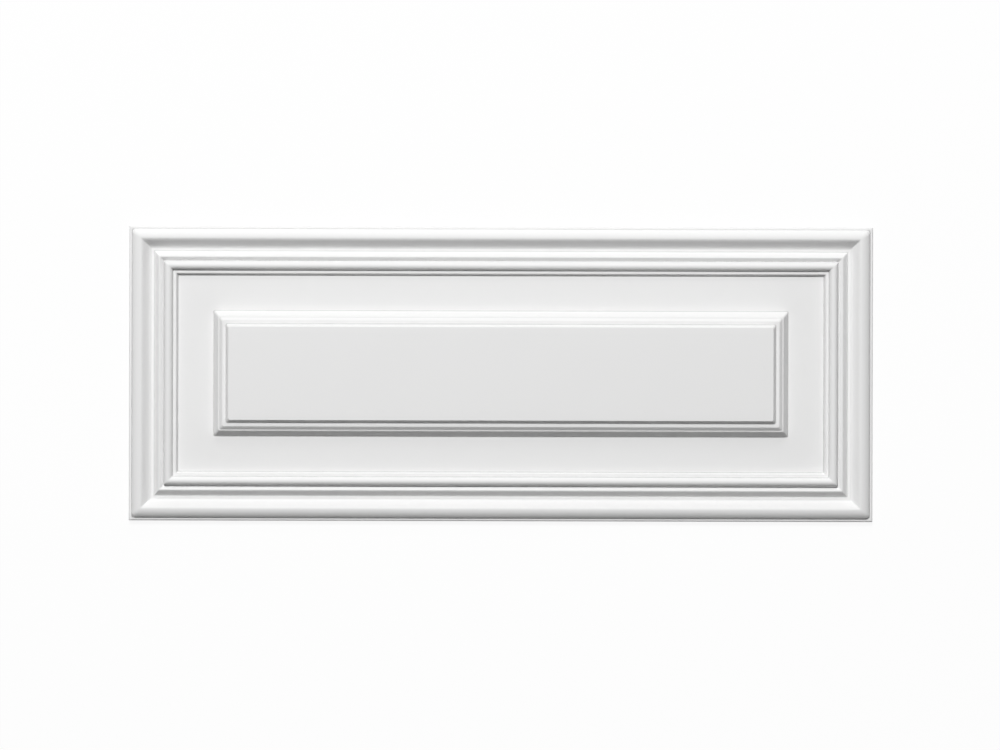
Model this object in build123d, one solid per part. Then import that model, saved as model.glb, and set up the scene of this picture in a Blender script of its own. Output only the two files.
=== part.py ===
from build123d import *
import math
import os

# Raised wall panel, moulded in one piece from rigid polyurethane foam.
# It lies on its flat back: X runs along the panel, Y across it and Z out of its face.
# The origin is the centre of the back. Lengths are in millimetres, angles in degrees.
# Widths in the section run inwards from the outer edge, and heights are over the back.
# A hold is how far a curve keeps the heading that it starts or ends with.

# Outline
panel_length = 550.0
panel_width = 218.0

# Lip and flat quarter round at the outer edge of the frame
lip_width = 2.1
lip_height = 5.5
lip_arris_radius = 1.3
riser_width = 0.5
riser_rise = 1.1
round_width = 6.4
crest_height = 10.2
round_foot_hold = 0.3
round_crest_hold = 4.4
round_corner_radius = 2.8

# Ogee from the crest down to the valley, which has a narrow level floor
ogee_width = 7.7
valley_height = 4.1
valley_width = 1.7
ogee_crest_hold = 2.7
ogee_valley_hold = 2.4

# Cove that rises to a narrow roll, and the roll's inner side
cove_width = 4.65
roll_height = 8.85
cove_valley_hold = 0.95
cove_roll_hold = 1.7
roll_fall_width = 2.6
fillet_height = 6.2
roll_hold = 0.65
fillet_hold = 0.9

# Bead, small step and drop to the field
bead_riser_width = 0.65
bead_foot_height = 8.4
bead_width = 3.2
bead_height = 11.3
bead_foot_hold = 0.4
bead_top_hold = 2.3
bead_fall_width = 3.15
step_height = 7.6
bead_hold = 2.4
step_hold = 1.2
step_width = 2.5
drop_width = 1.1
step_arris_radius = 0.3

# Sunk field between the frame and the raised pad
field_height = 4.7
field_width = 26.4

# Raised pad in three tiers
bevel_width = 3.9
bevel_height = 11.3
bevel_arris_radius = 1.6
lower_ledge_width = 1.0
lower_riser_width = 2.3
lower_riser_height = 13.5
upper_ledge_width = 2.7
upper_riser_width = 2.05
pad_height = 17.0
pad_corner_radius = 1.5
pad_arris_radius = 0.4

INWARD = Vector(1, 0)
UPWARD = Vector(0, 1)


def further_in(point, width, height):
    """The point a width further in than the one given, at a height over the back."""
    return Vector(point.X + width, height)


def flowing(start, end, start_hold, end_hold):
    """A curve that leaves start along one hold and comes into end along the other."""
    return Bezier(start, start + start_hold, end - end_hold, end)


def frame_line():
    """The upper line of the frame's section, as its edges, the lip's arris and the step's."""
    lip_edge = Vector(0, lip_height)
    lip_end = further_in(lip_edge, lip_width, lip_height)
    round_foot = further_in(lip_end, riser_width, lip_height + riser_rise)
    crest = further_in(round_foot, round_width, crest_height)
    valley = further_in(crest, ogee_width, valley_height)
    cove_foot = further_in(valley, valley_width, valley_height)
    roll_top = further_in(cove_foot, cove_width, roll_height)
    fillet_foot = further_in(roll_top, roll_fall_width, fillet_height)
    bead_foot = further_in(fillet_foot, bead_riser_width, bead_foot_height)
    bead_top = further_in(bead_foot, bead_width, bead_height)
    step_start = further_in(bead_top, bead_fall_width, step_height)
    step_end = further_in(step_start, step_width, step_height)
    drop_end = further_in(step_end, drop_width, field_height)

    edges = [
        Line(lip_edge, lip_end),
        Line(lip_end, round_foot),
        flowing(round_foot, crest, UPWARD * round_foot_hold, INWARD * round_crest_hold),
        flowing(crest, valley, INWARD * ogee_crest_hold, INWARD * ogee_valley_hold),
        Line(valley, cove_foot),
        flowing(cove_foot, roll_top, INWARD * cove_valley_hold, INWARD * cove_roll_hold),
        flowing(roll_top, fillet_foot, INWARD * roll_hold, UPWARD * -fillet_hold),
        Line(fillet_foot, bead_foot),
        flowing(bead_foot, bead_top, UPWARD * bead_foot_hold, INWARD * bead_top_hold),
        flowing(bead_top, step_start, INWARD * bead_hold, UPWARD * -step_hold),
        Line(step_start, step_end),
        Line(step_end, drop_end),
    ]
    return edges, lip_edge, step_end


def frame_section():
    """The closed section of the frame, with the arrises of its lip and its step softened."""
    edges, lip_edge, step_end = frame_line()
    inner_foot = edges[-1] @ 1
    edges.append(Line(inner_foot, (inner_foot.X, 0)))
    edges.append(Line((inner_foot.X, 0), (0, 0)))
    edges.append(Line((0, 0), lip_edge))
    section = make_face(edges)
    for arris, radius in [(lip_edge, lip_arris_radius), (step_end, step_arris_radius)]:
        section = fillet(section.vertices().sort_by_distance(arris)[0], radius)
    return section


def rounded_corners(section_top):
    """What comes off the corners of the quarter round, which is rounded in plan over its lip."""
    length = panel_length - 2 * lip_width
    width = panel_width - 2 * lip_width
    over_lip = Pos(0, 0, lip_height)
    square = extrude(over_lip * Rectangle(length, width), section_top)
    rounded = extrude(over_lip * RectangleRounded(length, width, round_corner_radius), section_top)
    return square - rounded


def rail(section, length, width):
    """One side of the frame, along X at the near edge of a length by width outline, mitred."""
    frame_width = section.bounding_box().size.X
    start = Plane(origin=(-length / 2, -width / 2, 0), x_dir=(0, 1, 0), z_dir=(1, 0, 0))
    outer = [(-length / 2, -width / 2), (length / 2, -width / 2)]
    inner = [
        (length / 2 - frame_width, frame_width - width / 2),
        (frame_width - length / 2, frame_width - width / 2),
    ]
    mitred = make_face(Polyline(*outer, *inner, close=True))
    return extrude(start * section, length) & extrude(mitred, section.bounding_box().size.Y)


def frame():
    """The frame's section run round the outline and mitred at its corners."""
    section = frame_section()
    long_rail = rail(section, panel_length, panel_width)
    short_rail = rail(section, panel_width, panel_length)
    rails = long_rail + Rot(0, 0, 90) * short_rail
    rails = rails + Rot(0, 0, 180) * long_rail + Rot(0, 0, 270) * short_rail
    return rails - rounded_corners(section.bounding_box().size.Y)


def tier(inset, foot, top, riser_width, arris_radius):
    """One tier of the pad: a block with rounded corners, leaning sides and a softened arris."""
    length = panel_length - 2 * (inset + riser_width)
    width = panel_width - 2 * (inset + riser_width)
    height = top - foot
    ledge = Pos(0, 0, top) * RectangleRounded(length, width, pad_corner_radius)
    lean = math.degrees(math.atan(riser_width / height))
    block = extrude(ledge, height, dir=(0, 0, -1), taper=-lean)
    return fillet(block.faces().sort_by(Axis.Z)[-1].edges(), arris_radius)


def raised_pad(inset):
    """The pad's three tiers from the field up, the first one that far from the outer edge."""
    lower_inset = inset + bevel_width + lower_ledge_width
    upper_inset = lower_inset + lower_riser_width + upper_ledge_width
    return [
        tier(inset, field_height, bevel_height, bevel_width, bevel_arris_radius),
        tier(lower_inset, bevel_height, lower_riser_height, lower_riser_width, pad_arris_radius),
        tier(upper_inset, lower_riser_height, pad_height, upper_riser_width, pad_arris_radius),
    ]


def wall_panel():
    """The whole panel as one solid: frame, sunk field and raised pad."""
    frame_width = frame_section().bounding_box().size.X
    field = extrude(
        Rectangle(panel_length - 2 * frame_width, panel_width - 2 * frame_width), field_height
    )
    panel = frame() + field
    for block in raised_pad(frame_width + field_width):
        panel = panel + block
    return panel


os.makedirs("parts", exist_ok=True)
panel = wall_panel()
export_step(panel, "parts/wall_panel.step")
print("solids", len(panel.solids()), "volume in mm3", round(panel.volume))
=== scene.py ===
# %% [markdown]
# # A moulded wall panel
#
# The object is a raised panel for a wall or a door: a frame moulding with mitred corners, a sunk flat
# field inside it, and a centre that rises in three tiers. It is taken to be poured in one piece, from rigid
# foam in a closed mould, with white primer sprayed on its face, though the photograph can't prove the foam.
# So this lesson makes one surface, gives it two finishes (primed skin, and bare foam on the back), and
# lights it so softly that nearly all of the form is drawn by shading, and shade is painted into its creases.
#
# The imported model is loaded first. It is the fixed frame: its box gives the panel's size, and the new
# surface has to stay inside it.

import math

import bpy
import numpy as np
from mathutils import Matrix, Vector


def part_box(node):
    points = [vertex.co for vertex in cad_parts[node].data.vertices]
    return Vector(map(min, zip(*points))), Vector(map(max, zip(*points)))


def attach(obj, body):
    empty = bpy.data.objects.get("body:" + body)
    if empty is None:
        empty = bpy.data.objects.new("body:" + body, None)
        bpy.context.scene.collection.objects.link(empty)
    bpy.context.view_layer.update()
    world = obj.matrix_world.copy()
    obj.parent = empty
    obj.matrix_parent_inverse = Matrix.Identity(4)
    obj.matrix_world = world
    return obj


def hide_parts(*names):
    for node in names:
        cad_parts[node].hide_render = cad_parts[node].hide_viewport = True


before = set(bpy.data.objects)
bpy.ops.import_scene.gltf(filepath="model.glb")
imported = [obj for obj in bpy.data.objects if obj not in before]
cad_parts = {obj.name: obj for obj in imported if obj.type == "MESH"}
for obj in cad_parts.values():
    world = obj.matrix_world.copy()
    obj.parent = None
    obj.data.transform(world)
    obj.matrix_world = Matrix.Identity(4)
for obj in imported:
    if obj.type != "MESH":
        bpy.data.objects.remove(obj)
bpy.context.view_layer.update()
NODE = "wall_panel"
low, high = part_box(NODE)
length, width, thickness = high - low
print(f"panel {length:.3f} by {width:.3f} m, {thickness * 1000:.1f} mm thick")

# %% [markdown]
# ## The drawing
#
# A moulding is drawn as a section: how high the face stands over the back, at each distance in from the
# outer edge. The numbers below are such a drawing's, in millimetres, and they are turned into metres once.
# They are estimates from the photograph's lines and shading, and a height may be two millimetres off.
# A hold is how far a curve keeps the heading that it starts or ends with: long holds make a full, round
# curve, and short ones nearly a straight bevel. Everything after this cell is worked out from these numbers
# and from the box.

# %% The section's sizes
MM = 0.001

lip_width, lip_height, lip_arris_radius = 2.1 * MM, 5.5 * MM, 1.3 * MM
riser_width, riser_rise = 0.5 * MM, 1.1 * MM
round_width, crest_height = 6.4 * MM, 10.2 * MM
round_foot_hold, round_crest_hold = 0.3 * MM, 4.4 * MM
ogee_width, valley_height, valley_width = 7.7 * MM, 4.1 * MM, 1.7 * MM
ogee_crest_hold, ogee_valley_hold = 2.7 * MM, 2.4 * MM
cove_width, roll_height = 4.65 * MM, 8.85 * MM
cove_valley_hold, cove_roll_hold = 0.95 * MM, 1.7 * MM
roll_fall_width, fillet_height = 2.6 * MM, 6.2 * MM
roll_hold, fillet_hold = 0.65 * MM, 0.9 * MM
bead_riser_width, bead_foot_height = 0.65 * MM, 8.4 * MM
bead_width, bead_height = 3.2 * MM, 11.3 * MM
bead_foot_hold, bead_top_hold = 0.4 * MM, 2.3 * MM
bead_fall_width, step_height, step_width = 3.15 * MM, 7.6 * MM, 2.5 * MM
bead_hold, step_hold = 2.4 * MM, 1.2 * MM
drop_width, field_height, field_width = 1.1 * MM, 4.7 * MM, 26.4 * MM
bevel_width, bevel_height, bevel_arris_radius = 3.9 * MM, 11.3 * MM, 1.6 * MM
lower_ledge_width, lower_riser_width, lower_riser_height = 1.0 * MM, 2.3 * MM, 13.5 * MM
upper_ledge_width, upper_riser_width = 2.7 * MM, 2.05 * MM
pad_height = thickness

# %% [markdown]
# ## Three kinds of line
#
# The section needs only straight lines, quarter ellipses and flowing curves. Each helper below gives a curve
# as an array of points, one row each, with the distance from the edge first and the height second. A curve
# is a formula evaluated for all its points at once: no loop walks along it.

# %% Straight lines, quarter ellipses and flowing curves
CURVE_POINTS = 60
INWARD, UPWARD = np.array([1.0, 0.0]), np.array([0.0, 1.0])


def straight(start, end):
    """The points start + s (end - start), for shares s from 0 to 1."""
    share = np.linspace(0, 1, CURVE_POINTS)[:, None]
    return start + share * (end - start)


def quarter(start, end, upright_first):
    """A quarter ellipse between two points, upright at one end and level at the other.
    Its two coordinates run as 1 - cos(a) and sin(a) while the angle a goes from 0 to 90 degrees."""
    angle = np.linspace(0, np.pi / 2, CURVE_POINTS)
    slow, fast = 1 - np.cos(angle), np.sin(angle)
    share = np.stack([slow, fast] if upright_first else [fast, slow], axis=1)
    return start + share * (end - start)


def flowing(start, end, start_hold, end_hold):
    """A cubic that leaves start along one arrow and reaches end along another. For shares s from 0 to 1
    it is (1-s)^3 start + 3 (1-s)^2 s (start + start_hold) + 3 (1-s) s^2 (end - end_hold) + s^3 end."""
    share = np.linspace(0, 1, CURVE_POINTS)[:, None]
    rest = 1 - share
    first = rest**3 * start + 3 * rest**2 * share * (start + start_hold)
    return first + 3 * rest * share**2 * (end - end_hold) + share**3 * end


print("a quarter ellipse has", len(quarter(np.zeros(2), np.ones(2), True)), "points")

# %% [markdown]
# ## The whole section in one line
#
# The pieces follow each other from the middle of the back, round the outer edge, and over the face to the
# middle of the pad. Going inwards, a small lip is followed by a flat quarter round, the S-shaped ogee down
# to the valley, a cove that rises to a narrow roll, a bead with a small step behind it, and the drop to
# the field. Then come the pad's three tiers.

# %% Chain the pieces into the section


def corner_points():
    """The named corners of the section, each a distance from the outer edge and a height."""
    widths = np.array([
        lip_width, riser_width, round_width, ogee_width, valley_width, cove_width, roll_fall_width,
        bead_riser_width, bead_width, bead_fall_width, step_width, drop_width, field_width,
        bevel_width, lower_ledge_width, lower_riser_width, upper_ledge_width, upper_riser_width,
    ])
    heights = np.array([
        lip_height, lip_height + riser_rise, crest_height, valley_height, valley_height, roll_height,
        fillet_height, bead_foot_height, bead_height, step_height, step_height, field_height,
        field_height, bevel_height, bevel_height, lower_riser_height, lower_riser_height, pad_height,
    ])
    names = (
        "lip_end round_foot crest valley cove_foot roll_top fillet bead_foot bead_top step_start step_end "
        "drop_end field_end bevel_top lower_foot lower_top upper_foot pad_edge"
    ).split()
    return dict(zip(names, np.stack([np.cumsum(widths), heights], axis=1)))


def eased(before, corner, after, radius):
    """A corner turned into an arc-like curve that starts and ends a tangent length away from it.
    The tangent length is radius * tan(turn / 2)."""
    arriving, leaving = corner - before, after - corner
    arriving, leaving = arriving / np.hypot(*arriving), leaving / np.hypot(*leaving)
    turn = math.acos(float(arriving @ leaving))
    reach = radius * math.tan(turn / 2)
    hold = radius * 4 / 3 * math.tan(turn / 4)
    return flowing(corner - reach * arriving, corner + reach * leaving, hold * arriving, hold * leaving)


def section():
    """The section as one array of points, from the middle of the back to the middle of the pad."""
    at = corner_points()
    middle = width / 2
    edge = np.array([0.0, lip_height])
    pieces = [
        straight(np.array([middle, 0.0]), np.zeros(2)),
        straight(np.zeros(2), edge - lip_arris_radius * UPWARD),
        quarter(edge - lip_arris_radius * UPWARD, edge + lip_arris_radius * INWARD, True),
        straight(edge + lip_arris_radius * INWARD, at["lip_end"]),
        straight(at["lip_end"], at["round_foot"]),
        flowing(at["round_foot"], at["crest"], round_foot_hold * UPWARD, round_crest_hold * INWARD),
        flowing(at["crest"], at["valley"], ogee_crest_hold * INWARD, ogee_valley_hold * INWARD),
        straight(at["valley"], at["cove_foot"]),
        flowing(at["cove_foot"], at["roll_top"], cove_valley_hold * INWARD, cove_roll_hold * INWARD),
        flowing(at["roll_top"], at["fillet"], roll_hold * INWARD, -fillet_hold * UPWARD),
        straight(at["fillet"], at["bead_foot"]),
        flowing(at["bead_foot"], at["bead_top"], bead_foot_hold * UPWARD, bead_top_hold * INWARD),
        flowing(at["bead_top"], at["step_start"], bead_hold * INWARD, -step_hold * UPWARD),
        straight(at["step_start"], at["step_end"]),
        straight(at["step_end"], at["drop_end"]),
        straight(at["drop_end"], at["field_end"]),
        eased(at["field_end"], at["bevel_top"], at["lower_foot"], bevel_arris_radius),
    ]
    rest = [at[name] for name in "lower_foot lower_top upper_foot pad_edge".split()]
    rest.append(np.array([middle, pad_height]))
    pieces += [straight(a, b) for a, b in zip(rest, rest[1:])]
    return np.concatenate(pieces)


raw_section = section()
print("the section has", len(raw_section), "points")

# %% [markdown]
# ## Soft arrises
#
# No arris of a sprayed moulding is sharp: the mould's own corners are eased, and the primer rounds them
# again. Instead of a bevel for each edge, the whole line is blurred along its own length, the way paint
# would flow. A corner becomes a small round, and a long flat isn't changed at all.
#
# A second, wider blur measures the creases. Where the line is hollow its wide average lies outside the
# surface, and how far outside says how deep the crease is. The finish will use that number to paint shade
# into the creases, darkening them a little.

# %% Blur the section and measure its creases
FINE_STEP = 0.02 * MM
SOFTNESS = 0.14 * MM
CREASE_WIDTH = 0.65 * MM
BELL_REACH = 4


def distances(points):
    """How far along a line each of its points lies."""
    steps = np.hypot(*np.diff(points, axis=0).T)
    return np.concatenate([[0.0], np.cumsum(steps)])


def along(points, places):
    """The points of a line at given distances along it."""
    travelled = distances(points)
    return np.stack([np.interp(places, travelled, points[:, k]) for k in (0, 1)], axis=1)


def bell_average(even, spread):
    """A line of even fine steps, each point replaced by the average of its neighbours. A neighbour at a
    distance d counts by exp(-(d / spread)^2 / 2)."""
    reach = int(BELL_REACH * spread / FINE_STEP)
    bell = np.exp(-0.5 * (np.arange(-reach, reach + 1) * FINE_STEP / spread) ** 2)
    padded = np.pad(even, ((reach, reach), (0, 0)), mode="edge")
    return np.stack([np.convolve(padded[:, k], bell / bell.sum(), "valid") for k in (0, 1)], axis=1)


def crease_depths(even):
    """How deep in a crease each point lies: (wide average - point) . outward normal, and 0 on an arris.
    The line runs with the outside on its left, so the normal is the heading turned left."""
    heading = np.gradient(even, axis=0)
    heading /= np.hypot(*heading.T)[:, None]
    outward = np.stack([-heading[:, 1], heading[:, 0]], axis=1)
    return np.maximum(((bell_average(even, CREASE_WIDTH) - even) * outward).sum(axis=1), 0.0)


even_section = along(raw_section, np.arange(0, distances(raw_section)[-1], FINE_STEP))
fine_section = bell_average(even_section, SOFTNESS)
crease = crease_depths(fine_section)
print("the softened section has", len(fine_section), "points")
print("the deepest crease is", round(crease.max() / MM, 2), "mm deep")

# %% [markdown]
# ## Where the rings go
#
# Every kept point of the section becomes a ring of the mesh, so the points are placed where they are needed:
# close together where the line turns or a crease begins, and far apart on the flats.

# %% Place the rings
LONGEST_STEP = 9.0 * MM
LARGEST_TURN = math.radians(4.5)
LARGEST_DEEPENING = 0.03 * MM


def ring_places(points, depths):
    """Distances of the rings: a new one after each LARGEST_TURN of turning, LARGEST_DEEPENING of a crease
    or LONGEST_STEP of length. The three shares are added up along the line, and cut into whole ones."""
    heading = np.unwrap(np.arctan2(*np.diff(points, axis=0).T[::-1]))
    turning = np.abs(np.diff(heading, prepend=heading[0]))
    deepening = np.abs(np.diff(depths))
    travelled = distances(points)
    shares = np.diff(travelled) / LONGEST_STEP + turning / LARGEST_TURN + deepening / LARGEST_DEEPENING
    weight = np.cumsum(shares)
    return np.interp(np.linspace(weight[0], weight[-1], int(weight[-1])), weight, travelled[1:])


places = ring_places(fine_section, crease)
rings = along(fine_section, places)
ring_crease = np.interp(places, distances(fine_section), crease)
print(len(rings), "rings are kept")

# %% [markdown]
# ## Round the outline
#
# Each point of the section becomes a ring: a rectangle that much smaller than the outline, at that height.
# Where the form falls away outwards, its corners stick out, and they are rounded by half a millimetre to
# nearly three. Where it falls inwards, as into the field, the corners are hollow and meet in a clean mitre.
# So each ring has its own corner radius, read from a short list of places along the section.

# %% Rings with their own corner radius
SHARP = 0.25 * MM
at = corner_points()
RADIUS_PLACES = [
    (0.0, 0.5 * MM), (at["lip_end"][0] - riser_width, 0.6 * MM), (at["lip_end"][0], 2.8 * MM),
    (at["round_foot"][0] + riser_width, 2.8 * MM), (at["crest"][0], 0.8 * MM),
    (at["valley"][0], SHARP), (at["roll_top"][0], 0.8 * MM),
    (at["bead_foot"][0], 0.9 * MM), (at["bead_top"][0], 0.6 * MM), (at["step_start"][0], SHARP),
    (at["drop_end"][0], SHARP), (at["field_end"][0], 1.3 * MM), (at["bevel_top"][0], 1.4 * MM),
    (at["pad_edge"][0], 1.5 * MM), (width / 2 - 2 * MM, 1.5 * MM),
]
ARC_STEPS = 8
RUN_SHARES = np.array([0.003, 0.02, 0.15, 0.5, 0.85, 0.98, 0.997])


def carried_round(profile):
    """Every section point carried round the outline: an array of rings by stations by x, y, z.
    A corner is centred its radius in from both sides, and its points are centre + radius * (cos, sin).
    Between two corners a station is a share of the way along the straight run."""
    inset, heights = profile[:, 0], profile[:, 1]
    radius = np.interp(inset, *np.array(RADIUS_PLACES).T)
    centre_x, centre_y = length / 2 - inset - radius, width / 2 - inset - radius
    quadrant = np.arange(4)
    turn = np.linspace(0, np.pi / 2, ARC_STEPS + 1)
    angle = (quadrant[:, None] - 1) * np.pi / 2 + turn
    side_x, side_y = np.array([1, 1, -1, -1]), np.array([-1, 1, 1, -1])
    arcs = np.stack([
        (centre_x[:, None] * side_x)[:, :, None] + radius[:, None, None] * np.cos(angle),
        (centre_y[:, None] * side_y)[:, :, None] + radius[:, None, None] * np.sin(angle),
    ], axis=-1)
    start, end = arcs[:, :, -1:], np.roll(arcs[:, :, :1], -1, axis=1)
    runs = start + RUN_SHARES[None, None, :, None] * (end - start)
    plan = np.concatenate([arcs, runs], axis=2).reshape(len(profile), -1, 2)
    level = np.broadcast_to(heights[:, None, None], plan.shape[:2] + (1,))
    return np.concatenate([plan, level], axis=2)


# A ring can't shrink to nothing, so the last one on each flat is the rim of a cap.
CAP_RIM = 14 * MM
outside_rim = rings[:, 0] < width / 2 - CAP_RIM
surface = carried_round(rings[outside_rim])
ring_crease = ring_crease[outside_rim]
print("rings, stations and coordinates:", surface.shape)

# %% [markdown]
# ## From arrays to a mesh
#
# The grid is closed round the outline, and at both ends one flat face fills the last ring: one on the back,
# one on top of the pad. Corners are numbered so that every face is seen anticlockwise from outside, which
# is what makes its normal point outwards.

# %% Build the panel


def grid_mesh(name, grid):
    """A closed mesh from rings of stations, with a flat face over the first ring and the last."""
    ring_count, stations = grid.shape[:2]
    index = np.arange(ring_count * stations).reshape(ring_count, stations)
    onward = np.roll(index, -1, axis=1)
    quads = np.stack([index[:-1], onward[:-1], onward[1:], index[1:]], axis=-1).reshape(-1, 4)
    faces = quads.tolist() + [index[0, ::-1].tolist(), index[-1].tolist()]
    mesh = bpy.data.meshes.new(name)
    mesh.from_pydata(grid.reshape(-1, 3).tolist(), [], faces)
    mesh.validate()
    mesh.polygons.foreach_set("use_smooth", np.ones(len(mesh.polygons), bool))
    mesh.update()
    return mesh


def outward_volume(mesh):
    """The volume by the divergence theorem: positive when the faces point outwards."""
    mesh.calc_loop_triangles()
    corners = np.empty(len(mesh.loop_triangles) * 3, np.int32)
    mesh.loop_triangles.foreach_get("vertices", corners)
    places = np.empty(len(mesh.vertices) * 3)
    mesh.vertices.foreach_get("co", places)
    a, b, c = places.reshape(-1, 3)[corners].reshape(-1, 3, 3).transpose(1, 0, 2)
    return float(np.einsum("ij,ij->i", a, np.cross(b, c)).sum() / 6)


panel_mesh = grid_mesh("moulded_panel", surface)
depth_layer = panel_mesh.attributes.new("crease", "FLOAT", "POINT")
depth_layer.data.foreach_set("value", np.repeat(ring_crease, surface.shape[1]))
panel = bpy.data.objects.new("moulded_panel", panel_mesh)
bpy.context.scene.collection.objects.link(panel)
print("triangles", len(panel_mesh.loop_triangles), "volume in litres", outward_volume(panel_mesh) * 1000)

# %% [markdown]
# ## Shader sums written as sums
#
# A material in Blender is a graph of nodes, and arithmetic on it is usually a tangle of Math nodes. A small
# class can hide that: it holds one socket, and adding, subtracting or multiplying it makes the node and
# returns the new socket. Numbers go through Math nodes, and colours and vectors through Mix and Vector
# Math, because a Math node would turn a colour grey.

# %% A socket with operators


class Wire:
    """One socket of a shader graph. Arithmetic on it adds the node that does the sum."""

    def __init__(self, graph, socket):
        self.graph, self.socket = graph, socket

    def sum_node(self, operation, first, second):
        kinds = {side.socket.type for side in (first, second) if isinstance(side, Wire)}
        if "RGBA" in kinds:
            settings = {"data_type": "RGBA", "blend_type": operation}
            return self.graph.node("ShaderNodeMix", settings, {"Factor": 1.0, 6: first, 7: second}, 2)
        kind = "ShaderNodeVectorMath" if "VECTOR" in kinds else "ShaderNodeMath"
        return self.graph.node(kind, {"operation": operation}, {0: first, 1: second})

    def __add__(self, other):
        return self.sum_node("ADD", self, other)

    def __radd__(self, other):
        return self.sum_node("ADD", other, self)

    def __sub__(self, other):
        return self.sum_node("SUBTRACT", self, other)

    def __rsub__(self, other):
        return self.sum_node("SUBTRACT", other, self)

    def __mul__(self, other):
        return self.sum_node("MULTIPLY", self, other)

    def __rmul__(self, other):
        return self.sum_node("MULTIPLY", other, self)


class Graph:
    """The node tree of one material or world, with one method that makes any node."""

    def __init__(self, owner):
        owner.use_nodes = True
        self.tree = owner.node_tree
        self.tree.nodes.clear()

    def node(self, kind, settings=None, sockets=None, output=0):
        """Makes a node, sets its settings first, then its sockets, and returns one output."""
        made = self.tree.nodes.new(kind)
        for key, value in (settings or {}).items():
            setattr(made, key, value)
        for key, value in (sockets or {}).items():
            if isinstance(value, Wire):
                self.tree.links.new(value.socket, made.inputs[key])
            else:
                made.inputs[key].default_value = value
        return Wire(self, made.outputs[output]) if made.outputs else made


print("the shader helpers are ready")

# %% [markdown]
# ## Primer on a moulded skin
#
# Sprayed primer is matt, with a faint satin sheen, and close up it has the texture of an orange's peel:
# shallow bumps a millimetre or so apart and about a hundredth deep. A foam moulding can also have slow,
# barely visible waves, where the skin has drawn in over the foam as it cooled. The photograph is too coarse
# to show either. Both are bump here, since their depth is far less than a pixel of any normal view. The
# colour only drifts by a percent or so.
#
# The creases are darkened with painted shade, and that is a guess. Some of them are darker in the
# photograph than the lamps make them, and grey painted into them stands in for that shade. The painted
# shade is a small part of it: the darkest line changes by 6 of 255 levels. The depth that was stored on
# the mesh says where it goes.
#
# The back isn't in the photograph. It is made as bare planed foam, with its cut cells as small pores, and
# their hollows darkened with painted shade. A little overspray creeps round the edge, so the border between
# the two is ragged.

# %% The primed face
PRIMER = (0.85, 0.85, 0.848, 1.0)
PRIMER_SHADE = (0.84, 0.84, 0.838, 1.0)
PRIMER_ROUGHNESS, PRIMER_GLOSS = 0.55, 0.25
ROUGHNESS_DRIFT, FOAM_ROUGHER = 0.06, 0.35
# Painted shade: the grey that the creases are mixed towards.
PAINTED_CREASE_SHADE = (0.50, 0.50, 0.495, 1.0)
SHALLOW_CREASE, DEEP_CREASE = 0.04 * MM, 0.26 * MM
PEEL_SIZE, PEEL_DEPTH = 1.3 * MM, 0.012 * MM
WAVE_SIZE, WAVE_DEPTH = 38 * MM, 0.05 * MM
BARE_FOAM = (0.74, 0.69, 0.57, 1.0)
# Painted shade: the darker foam colour that the pore hollows are mixed towards.
PAINTED_PORE_SHADE = (0.62, 0.56, 0.44, 1.0)
CELL_SIZE, CELL_DEPTH = 0.55 * MM, 0.09 * MM
PORE_CORE, PORE_RIM = 0.1, 0.5
OVERSPRAY_HEIGHT, OVERSPRAY_DRIFT, OVERSPRAY_SIZE = 0.25 * MM, 0.5 * MM, 4 * MM


def noise(graph, place, size, detail=2.0):
    """Soft noise between 0 and 1 whose lumps are about one size across."""
    sockets = {"Vector": place, "Scale": 1 / size, "Detail": detail}
    return graph.node("ShaderNodeTexNoise", {"noise_dimensions": "3D"}, sockets)


def ramp(graph, value, low_end, high_end):
    """0 below low_end, 1 above high_end, and a straight slope between."""
    sockets = {0: value, 1: low_end, 2: high_end, 3: 0.0, 4: 1.0}
    return graph.node("ShaderNodeMapRange", {"clamp": True}, sockets)


def blend(graph, share, first, second):
    """A colour between two others."""
    return graph.node("ShaderNodeMix", {"data_type": "RGBA"}, {"Factor": share, 6: first, 7: second}, 2)


def primed_foam():
    """White primer over the face and the sides, and bare planed foam on the back."""
    material = bpy.data.materials.new("primed_foam")
    graph = Graph(material)
    place = graph.node("ShaderNodeTexCoord", output="Object")
    height = graph.node("ShaderNodeSeparateXYZ", sockets={0: place}, output=2)
    ragged = noise(graph, place, OVERSPRAY_SIZE, detail=3.0)
    bare = 1 - ramp(graph, height + ragged * OVERSPRAY_DRIFT, OVERSPRAY_HEIGHT, 2 * OVERSPRAY_HEIGHT)

    drift = noise(graph, place, WAVE_SIZE, detail=3.0)
    depth = graph.node("ShaderNodeAttribute", {"attribute_name": "crease"}, output=2)
    # Painted shade: each crease is mixed towards a darker grey by its depth.
    painted_crease_share = ramp(graph, depth, SHALLOW_CREASE, DEEP_CREASE)
    primer = blend(graph, painted_crease_share, blend(graph, drift, PRIMER, PRIMER_SHADE), PAINTED_CREASE_SHADE)
    cells = graph.node("ShaderNodeTexVoronoi", {"feature": "F1"}, {"Vector": place, "Scale": 1 / CELL_SIZE})
    pores = ramp(graph, cells, PORE_CORE, PORE_RIM)
    # Painted shade: the pore hollows, which the bump sinks, are painted darker.
    foam = blend(graph, pores, PAINTED_PORE_SHADE, BARE_FOAM)

    peel = noise(graph, place, PEEL_SIZE) * PEEL_DEPTH + drift * WAVE_DEPTH
    relief = peel * (1 - bare) + pores * bare * CELL_DEPTH
    normal = graph.node("ShaderNodeBump", sockets={"Strength": 1.0, "Distance": 1.0, "Height": relief})
    roughness = PRIMER_ROUGHNESS + drift * ROUGHNESS_DRIFT + bare * FOAM_ROUGHER
    shader = graph.node("ShaderNodeBsdfPrincipled", sockets={
        "Base Color": blend(graph, bare, primer, foam), "Roughness": roughness, "Normal": normal,
        "Specular IOR Level": PRIMER_GLOSS,
    })
    graph.node("ShaderNodeOutputMaterial", sockets={"Surface": shader})
    return material


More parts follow.
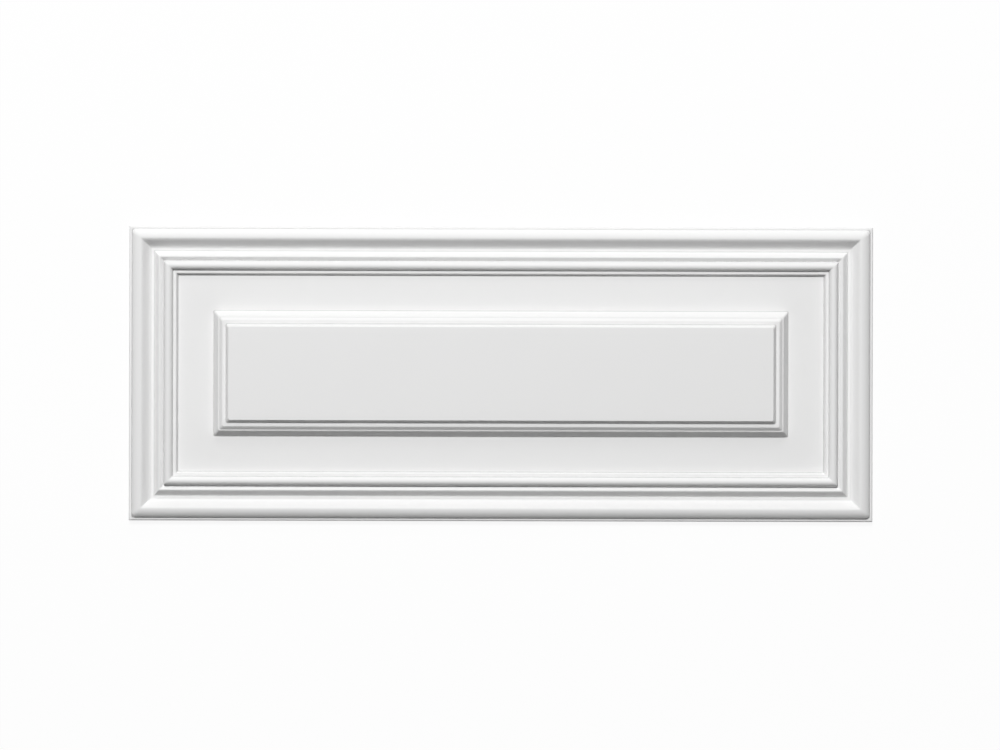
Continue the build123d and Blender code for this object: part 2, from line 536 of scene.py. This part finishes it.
panel.data.materials.append(primed_foam())
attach(panel, "root")
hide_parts(NODE)
print("the panel has the finish", panel.data.materials[0].name)

# %% [markdown]
# ## A white table
#
# The panel lies on a white table, and the camera looks straight down on it. The camera has to see the table
# white whatever the lamps do, so most of its brightness is its own. A small part of it is ordinary matt
# white, which is what keeps the panel's soft shadow. It lies a tenth of a millimetre under the panel's
# back, because two surfaces in exactly the same plane would show in patches from below.

# %% The floor
FLOOR_HALF, FLOOR_GAP = 6.0, 0.1 * MM
FLOOR_OWN_LIGHT = 0.92
FLOOR_WHITE = (0.97, 0.97, 0.97, 1.0)


def seen_directly(graph):
    """1 for rays that come straight from the camera or by way of gloss or glass, and 0 for all others."""
    rays = ["Is Camera Ray", "Is Glossy Ray", "Is Transmission Ray"]
    camera_ray, glossy_ray, glass_ray = [graph.node("ShaderNodeLightPath", output=ray) for ray in rays]
    return camera_ray + glossy_ray + glass_ray


def table_white():
    """Matt white for the lamps, and mostly its own white for what is seen directly."""
    material = bpy.data.materials.new("table_white")
    graph = Graph(material)
    share = seen_directly(graph) * FLOOR_OWN_LIGHT
    matt = graph.node("ShaderNodeBsdfDiffuse", sockets={"Color": FLOOR_WHITE})
    own = graph.node("ShaderNodeEmission", sockets={"Color": (1, 1, 1, 1), "Strength": 1.0})
    mixed = graph.node("ShaderNodeMixShader", sockets={0: share, 1: matt, 2: own})
    graph.node("ShaderNodeOutputMaterial", sockets={"Surface": mixed})
    return material


floor_mesh = bpy.data.meshes.new("floor")
floor_corners = np.array([(-1, -1, 0), (1, -1, 0), (1, 1, 0), (-1, 1, 0)]) * FLOOR_HALF - [0, 0, FLOOR_GAP]
floor_mesh.from_pydata(floor_corners.tolist(), [], [(0, 1, 2, 3)])
floor = bpy.data.objects.new("floor", floor_mesh)
floor.data.materials.append(table_white())
bpy.context.scene.collection.objects.link(floor)
print("the floor is", 2 * FLOOR_HALF, "m across")

# %% [markdown]
# ## Two lamps in a dark room
#
# A white relief shows only through its shading, so the light has a direction. The main softbox hangs high,
# beyond the panel's upper side and a little to the left. A weak one stands lower beyond that side, a little
# to the right, and draws the long soft shadows in the frame's hollows. The room is nearly dark. A lamp's
# place is given by how many degrees it leans from straight up, sideways and towards the upper side. Its
# power is worked out from the light that it has to give on a level surface, so it can be moved freely.
# Where the photograph's own lamps stood isn't known, and these two were found by trial against it.

# %% Lamps and sky
SKY_STRENGTH = 0.02
LAMP_DISTANCE, LAMP_SIZE = 4.0, 0.8
LAMPS = {
    "main": {"sideways": -8, "towards": 31, "level": 0.8},
    "low": {"sideways": 8, "towards": 57, "level": 0.065},
}


def soft_lamp(name, sideways, towards, level):
    """A square lamp that gives a level share of full white on the panel's middle.
    An area lamp of power P lights a facing surface at distance d by P / (pi^2 d^2), times the
    cosine of the angle at which the light arrives."""
    place = Vector((math.tan(math.radians(sideways)), math.tan(math.radians(towards)), 1.0)).normalized()
    data = bpy.data.lights.new(name, "AREA")
    data.size = LAMP_SIZE
    data.energy = level * math.pi**2 * LAMP_DISTANCE**2 / place.z
    lamp = bpy.data.objects.new(name, data)
    lamp.location = place * LAMP_DISTANCE
    lamp.rotation_euler = place.to_track_quat("Z", "Y").to_euler()
    bpy.context.scene.collection.objects.link(lamp)
    return lamp


for name, lamp in LAMPS.items():
    made = soft_lamp(name, **lamp)
    print(name, "stands at", tuple(round(v, 2) for v in made.location), "with", round(made.data.energy), "W")

world = bpy.data.worlds.new("studio")
bpy.context.scene.world = world
sky = Graph(world)
strength = SKY_STRENGTH + seen_directly(sky) * (1 - SKY_STRENGTH)
background = sky.node("ShaderNodeBackground", sockets={"Color": (1, 1, 1, 1), "Strength": strength})
sky.node("ShaderNodeOutputWorld", sockets={"Surface": background})

# %% [markdown]
# ## The camera
#
# The photograph looks straight down on the panel. How high its camera stood isn't known: the fits to its
# shading gave 1.7 to 3.0 metres. This camera stands at two, and from there the raised parts lie less than a
# pixel from where they would lie from either. The picture is 1000 pixels wide, so the lens follows from how
# many pixels a metre takes at the table's height. In the photograph the panel lies turned by a tenth of a
# degree and a hair off the middle, and so it does here.

# %% Place the camera
PICTURE = (1000, 750)
SENSOR_WIDTH = 36.0
PIXELS_PER_METRE = 1349.0
CAMERA_HEIGHT = 2.0
PANEL_CENTRE_PIXEL = (500.86, 373.83)
CAMERA_TURN = math.radians(0.14)

camera_data = bpy.data.cameras.new("camera")
camera_data.sensor_width = SENSOR_WIDTH
camera_data.lens = SENSOR_WIDTH * CAMERA_HEIGHT * PIXELS_PER_METRE / PICTURE[0]
camera = bpy.data.objects.new("camera", camera_data)
across = (PICTURE[0] / 2 - PANEL_CENTRE_PIXEL[0]) / PIXELS_PER_METRE
upward = (PANEL_CENTRE_PIXEL[1] - PICTURE[1] / 2) / PIXELS_PER_METRE
camera.location = (across, upward, CAMERA_HEIGHT)
camera.rotation_euler = (0.0, 0.0, CAMERA_TURN)
bpy.context.scene.collection.objects.link(camera)
bpy.context.scene.camera = camera
bpy.context.scene.view_settings.view_transform = "Standard"
print("the lens is", round(camera_data.lens, 1), "mm")
